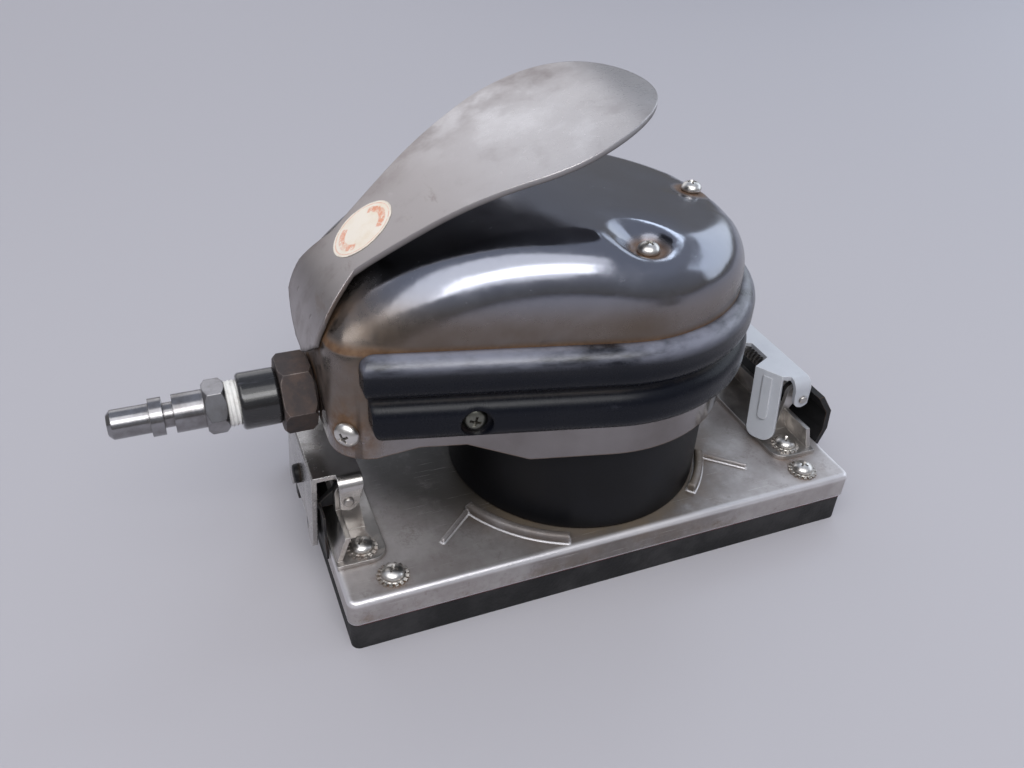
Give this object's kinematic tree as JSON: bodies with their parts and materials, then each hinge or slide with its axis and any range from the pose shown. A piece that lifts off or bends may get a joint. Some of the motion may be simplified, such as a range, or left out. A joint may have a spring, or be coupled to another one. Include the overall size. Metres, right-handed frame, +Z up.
{
  "type": "orbital sander",
  "caption": "Air-powered orbital pad sander: chromed teardrop shroud over a vane motor, palm throttle lever, rubber bumper and skirt, cast shoe with paper clamps, plug inlet.",
  "frame": {"origin": "centre of the pad's underside, on the surface being sanded", "axes": "+X towards the round front of the tool, -X towards the air inlet, +Z up out of the work"},
  "size_m": [0.2384, 0.1048, 0.1495],
  "materials": {
    "cast_shoe": "worn cast",
    "pad_cloth": "thin cloth",
    "pad_foam": "matte",
    "skirt_rubber": "satin",
    "bumper_rubber": "satin",
    "polished_shell": "polished",
    "satin_steel": "satin",
    "sticker": "matte",
    "zinc": "plated",
    "nickel": "plated",
    "tape": "matte",
    "black_fitting": "gloss",
    "rusty_fitting": "oxidised",
    "clamp_steel": "satin",
    "bright_clamp_steel": "bright",
    "black_steel": "matte",
    "cast_housing": "as cast",
    "cast_iron": "ground",
    "ground_steel": "ground",
    "vane": "matte"
  },
  "bodies": {
    "tool_body": {"shroud_cover": "polished_shell", "bumper_guard": "bumper_rubber", "bumper_screws": "zinc", "lever_pin": "ground_steel", "motor_housing": "cast_housing", "inlet_bushing": "rusty_fitting", "coupling": "black_fitting", "thread_tape": "tape", "quick_plug": "nickel", "dome_screws": "zinc", "side_screws": "zinc", "cylinder_liner": "cast_iron", "end_plate_lower": "cast_iron", "end_plate_upper": "cast_iron", "bearing_lower": "ground_steel", "bearing_upper": "ground_steel", "rubber_skirt": "skirt_rubber", "stem_spring": "ground_steel"},
    "shaft": {"eccentric_shaft": "ground_steel", "rotor": "ground_steel", "rotor_vanes": "vane"},
    "shoe": {"shoe_plate": "cast_shoe", "pad_backing": "pad_cloth", "sanding_pad": "pad_foam", "shoe_bearing": "ground_steel", "bearing_retainer": "ground_steel", "front_clamp_bracket": "bright_clamp_steel", "rear_clamp_bracket": "bright_clamp_steel", "front_clamp_pin": "ground_steel", "rear_clamp_pin": "ground_steel", "front_clamp_spring": "ground_steel", "rear_clamp_spring": "ground_steel", "bracket_screws": "zinc", "shoe_screws": "zinc", "toothed_washers": "zinc"},
    "throttle": {"throttle_lever": "satin_steel", "lever_label": "sticker"},
    "stem": {"throttle_stem": "ground_steel"},
    "front_lever": {"front_clamp_lever": "clamp_steel"},
    "front_jaw": {"front_clamp_jaw": "black_steel"},
    "rear_lever": {"rear_clamp_lever": "bright_clamp_steel"},
    "rear_jaw": {"rear_clamp_jaw": "black_steel"}
  },
  "joints": [
    {"name": "shaft_spin", "type": "hinge", "parent": "tool_body", "child": "shaft", "pos_m": [0.0024, 0, 0], "axis": [0, 0, 1], "continuous": true},
    {"name": "shoe_orbit", "type": "hinge", "parent": "shaft", "child": "shoe", "pos_m": [0, 0, 0], "axis": [0, 0, 1], "continuous": true},
    {"name": "throttle_press", "type": "hinge", "parent": "tool_body", "child": "throttle", "pos_m": [-0.0795, 0, 0.09], "axis": [0, 1, 0], "range_deg": [0, 6], "stiffness_Nm_per_rad": 0.5, "springref_deg": -17.19},
    {"name": "stem_travel", "type": "slide", "parent": "tool_body", "child": "stem", "axis": [0, 0, -1], "range_m": [0, 0.003], "stiffness_N_per_m": 100, "springref_m": -0.004, "deforming": ["stem_spring"]},
    {"name": "front_lever_lift", "type": "hinge", "parent": "shoe", "child": "front_lever", "pos_m": [0.0824, 0, 0.0372], "axis": [0, 1, 0], "range_deg": [0, 25], "stiffness_Nm_per_rad": 0.15, "springref_deg": -22.92},
    {"name": "front_jaw_open", "type": "hinge", "parent": "shoe", "child": "front_jaw", "pos_m": [0.0824, 0, 0.0372], "axis": [0, 1, 0], "range_deg": [-8, 0]},
    {"name": "rear_lever_lift", "type": "hinge", "parent": "shoe", "child": "rear_lever", "pos_m": [-0.0824, 0, 0.0372], "axis": [0, 1, 0], "range_deg": [0, 60], "stiffness_Nm_per_rad": 0.15, "springref_deg": -22.92},
    {"name": "rear_jaw_open", "type": "hinge", "parent": "shoe", "child": "rear_jaw", "pos_m": [-0.0824, 0, 0.0372], "axis": [0, 1, 0], "range_deg": [0, 20]}
  ],
  "couplings": [
    {"joint": "shoe_orbit", "follows": "shaft_spin", "ratio": -1},
    {"joint": "stem_travel", "follows": "throttle_press", "m_per_rad": 0.026},
    {"joint": "front_jaw_open", "follows": "front_lever_lift", "ratio": -0.3},
    {"joint": "rear_jaw_open", "follows": "rear_lever_lift", "ratio": 0.3}
  ]
}
